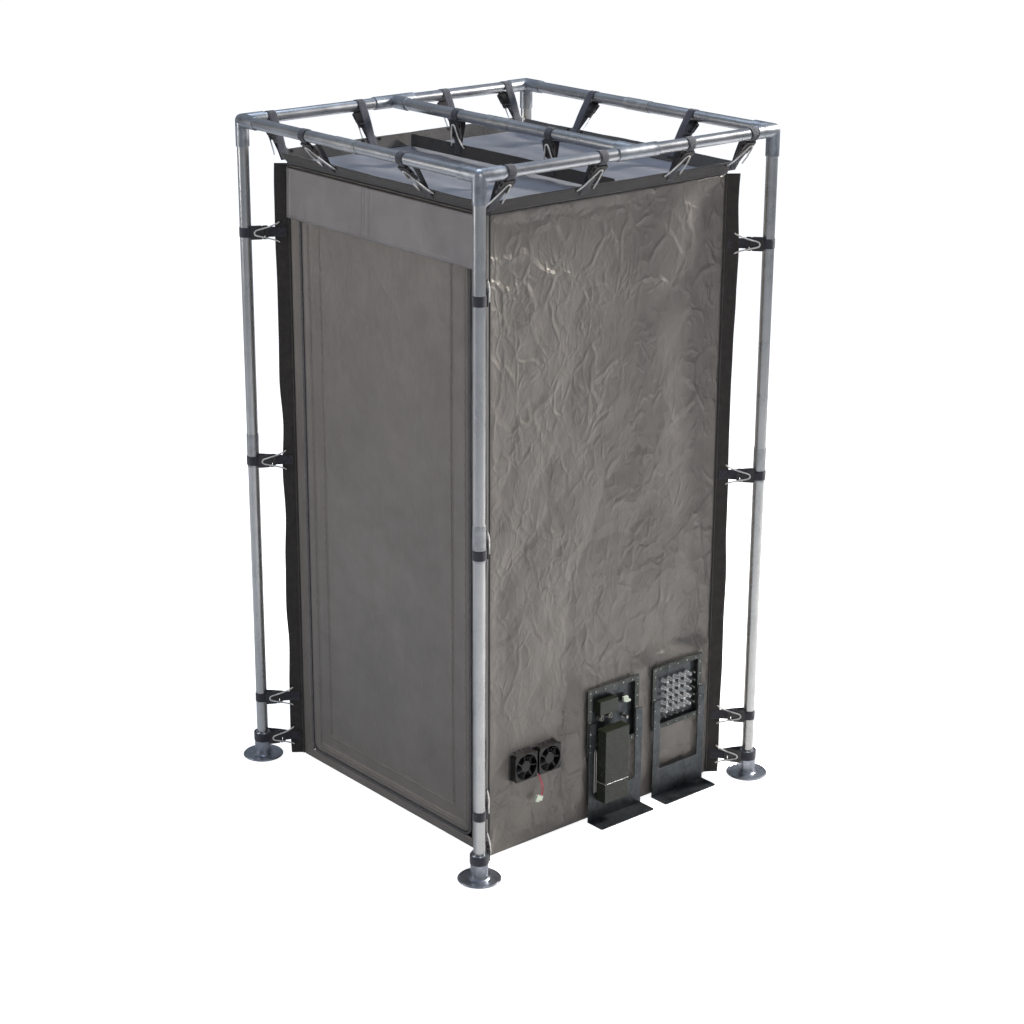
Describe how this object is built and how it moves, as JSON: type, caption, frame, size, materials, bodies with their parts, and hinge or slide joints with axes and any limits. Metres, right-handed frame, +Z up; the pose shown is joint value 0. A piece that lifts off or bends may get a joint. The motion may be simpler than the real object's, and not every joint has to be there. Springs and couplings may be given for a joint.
{
  "type": "shielded test tent in a tube frame",
  "caption": "Walk-in tent of metallised fabric, strapped inside a free-standing tube frame, with a zipped door, fans and service panels.",
  "frame": {"origin": "on the floor, at the middle of the four posts", "axes": "+X towards the service wall with the fans and panels, -Y towards the door, +Z up"},
  "size_m": [1.34, 1.346, 2.2622],
  "materials": {
    "foot_metal": "satin",
    "fitting_metal": "satin",
    "tube_metal": "satin",
    "coupler_metal": "satin",
    "shield_fabric": "semi-gloss metallised weave",
    "valance_fabric": "semi-gloss metallised weave",
    "band_fabric": "matte",
    "zip_chain": "matte",
    "zip_metal": "satin",
    "webbing": "matte ribbed",
    "buckle_plastic": "semi-gloss",
    "shock_cord": "matte braided",
    "eyelet_metal": "semi-gloss",
    "fan_plastic": "satin",
    "honeycomb": "satin",
    "screw_steel": "bright",
    "lead_insulation": "satin",
    "pale_plastic": "satin",
    "black_plastic": "satin",
    "frame_metal": "satin",
    "sheet_steel": "satin",
    "filter_paint": "satin",
    "switch_paint": "satin",
    "dull_nickel": "satin",
    "bright_nickel": "polished"
  },
  "bodies": {
    "root": {"back_rails": "tube_metal", "band_eyelets": "eyelet_metal", "buckle_clips": "buckle_plastic", "buckle_sockets": "buckle_plastic", "conduit_nipples": "dull_nickel", "corner_bands": "band_fabric", "corner_fitting_back_left": "fitting_metal", "corner_fitting_back_right": "fitting_metal", "corner_fitting_front_left": "fitting_metal", "corner_fitting_front_right": "fitting_metal", "cross_rails": "tube_metal", "earth_rods": "dull_nickel", "fan_housing_left": "fan_plastic", "fan_housing_right": "fan_plastic", "fan_lead": "lead_insulation", "fan_lead_plug": "pale_plastic", "fan_screws": "screw_steel", "filter_box": "filter_paint", "filter_terminal_cover": "filter_paint", "floor_panel": "shield_fabric", "foot_flange_back_left": "foot_metal", "foot_flange_back_right": "foot_metal", "foot_flange_front_left": "foot_metal", "foot_flange_front_right": "foot_metal", "front_rails": "tube_metal", "front_surround": "shield_fabric", "inlet_cap": "pale_plastic", "io_plate": "sheet_steel", "left_side_rails": "tube_metal", "lower_posts": "tube_metal", "panel_clamp_frames": "frame_metal", "panel_inner_frames": "frame_metal", "panel_screws": "screw_steel", "panel_stands": "sheet_steel", "post_couplers": "coupler_metal", "power_inlet": "black_plastic", "power_plate": "sheet_steel", "rail_couplers": "coupler_metal", "rf_connectors": "bright_nickel", "right_side_rails": "tube_metal", "roof_bands": "band_fabric", "roof_panel": "shield_fabric", "shock_cords": "shock_cord", "side_tees": "fitting_metal", "small_connectors": "dull_nickel", "strap_loops": "webbing", "strap_tails": "webbing", "switch_box": "switch_paint", "upper_posts": "tube_metal", "vent_screens": "honeycomb", "wall_back": "shield_fabric", "wall_left": "shield_fabric", "wall_right": "shield_fabric", "zipper_chain": "zip_chain"},
    "door": {"door_panel": "shield_fabric"},
    "valance": {"door_valance": "valance_fabric"},
    "zip_left": {"zipper_slider_left": "zip_metal"},
    "zip_right": {"zipper_slider_right": "zip_metal"},
    "rotor_left": {"fan_rotor_left": "fan_plastic"},
    "rotor_right": {"fan_rotor_right": "fan_plastic"}
  },
  "joints": [
    {"name": "door_lift", "type": "hinge", "parent": "root", "child": "door", "pos_m": [0, -0.491, 1.988], "axis": [-1, 0, 0], "range_deg": [0, 100]},
    {"name": "valance_lift", "type": "hinge", "parent": "root", "child": "valance", "pos_m": [0, -0.4985, 2.092], "axis": [-1, 0, 0], "range_deg": [0, 100]},
    {"name": "zip_slide_left", "type": "slide", "parent": "root", "child": "zip_left", "axis": [0, 0, -1], "range_m": [0, 1.85]},
    {"name": "zip_slide_right", "type": "slide", "parent": "root", "child": "zip_right", "axis": [0, 0, -1], "range_m": [0, 1.85]},
    {"name": "fan_left_spin", "type": "hinge", "parent": "root", "child": "rotor_left", "pos_m": [0.5235, -0.354, 0.289], "axis": [1, 0, 0], "continuous": true},
    {"name": "fan_right_spin", "type": "hinge", "parent": "root", "child": "rotor_right", "pos_m": [0.5235, -0.253, 0.289], "axis": [1, 0, 0], "continuous": true}
  ],
  "couplings": [
    {"joint": "valance_lift", "follows": "door_lift", "ratio": 1}
  ]
}
